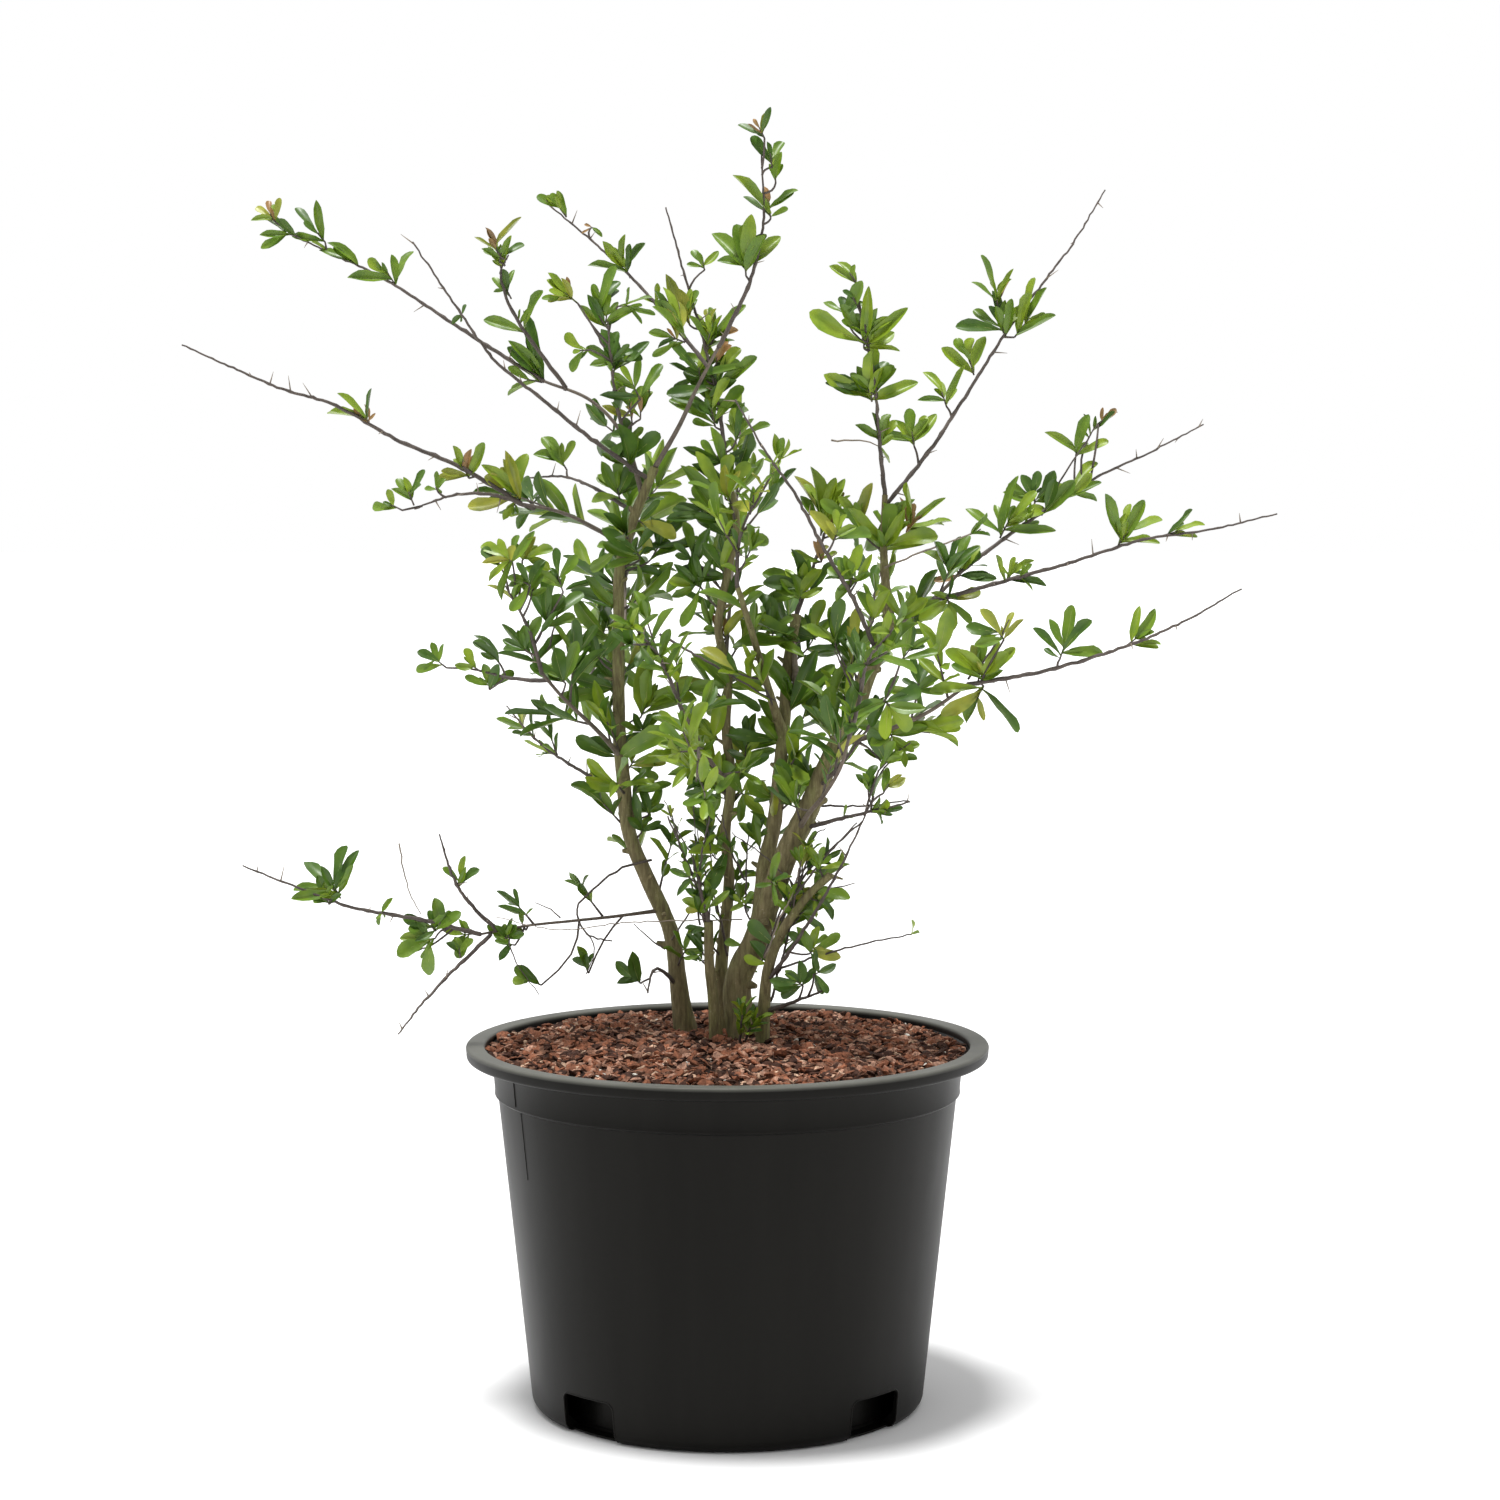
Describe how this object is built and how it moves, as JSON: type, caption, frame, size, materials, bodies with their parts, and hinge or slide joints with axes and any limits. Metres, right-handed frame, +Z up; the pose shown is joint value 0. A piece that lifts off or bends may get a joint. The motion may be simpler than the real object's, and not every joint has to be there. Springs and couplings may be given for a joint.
{
  "type": "potted pomegranate shrub",
  "caption": "Young multi-stemmed pomegranate shrub with small glossy leaves and long thin shoots, growing in a round nursery pot topped with bark chips.",
  "frame": {"origin": "centre of the pot's flat underside", "axes": "+Z up the plant; -Y towards the pictured front, +X to the right of that view"},
  "size_m": [0.7196, 0.5282, 0.891],
  "materials": {
    "pot_plastic": "black, slightly dusty, satin",
    "bark_mix": "rough bark chips",
    "bark": "thin grey-brown bark",
    "leaf_deep": "glossy leaf, deep green",
    "leaf_mid": "glossy leaf, mid green",
    "leaf_fresh": "glossy leaf, fresh green"
  },
  "bodies": {
    "root": {"pot": "pot_plastic", "potting_mix": "bark_mix", "stem_west": "bark", "stem_centre": "bark", "trunk_east": "bark", "stem_short": "bark", "stem_stub": "bark", "limb_middle": "bark", "bough_top": "bark", "bough_west_high": "bark", "bough_west": "bark", "bough_west_low": "bark", "bough_west_foot": "bark", "bough_east_up": "bark", "bough_east_out": "bark", "bough_east_low": "bark", "bough_middle_west": "bark", "bough_front": "bark", "bough_front_east": "bark", "bough_back": "bark", "bough_back_west": "bark", "bough_back_east": "bark", "shoot_top": "leaf_deep", "shoot_top_west": "leaf_mid", "shoot_west_inner": "leaf_fresh", "shoot_west_high": "leaf_deep", "shoot_west_tuft": "leaf_mid", "shoot_west_bare": "leaf_fresh", "shoot_west_side": "leaf_deep", "shoot_west": "leaf_mid", "shoot_west_droop": "leaf_fresh", "shoot_west_rise": "leaf_deep", "shoot_west_level": "leaf_mid", "shoot_west_thin": "leaf_fresh", "shoot_foot_west": "leaf_deep", "shoot_foot_rise": "leaf_mid", "shoot_foot_droop": "leaf_fresh", "shoot_centre": "leaf_deep", "shoot_east_tall": "leaf_mid", "shoot_east_lean": "leaf_fresh", "shoot_east_tuft": "leaf_deep", "shoot_east_out": "leaf_mid", "shoot_east_far": "leaf_fresh", "shoot_east_low": "leaf_deep", "shoot_inner_rise": "leaf_mid", "shoot_middle_west": "leaf_fresh", "shoot_middle": "leaf_deep", "shoot_east_whip": "leaf_mid", "shoot_east_thin": "leaf_fresh", "shoot_short": "leaf_deep", "shoot_foot_left": "leaf_mid", "shoot_foot_right": "leaf_fresh", "shoot_back_west": "leaf_deep", "shoot_back_low": "leaf_mid", "shoot_back": "leaf_fresh", "shoot_back_east": "leaf_deep", "shoot_front": "leaf_mid", "shoot_front_low": "leaf_fresh", "shoot_front_east": "leaf_deep"}
  },
  "joints": []
}
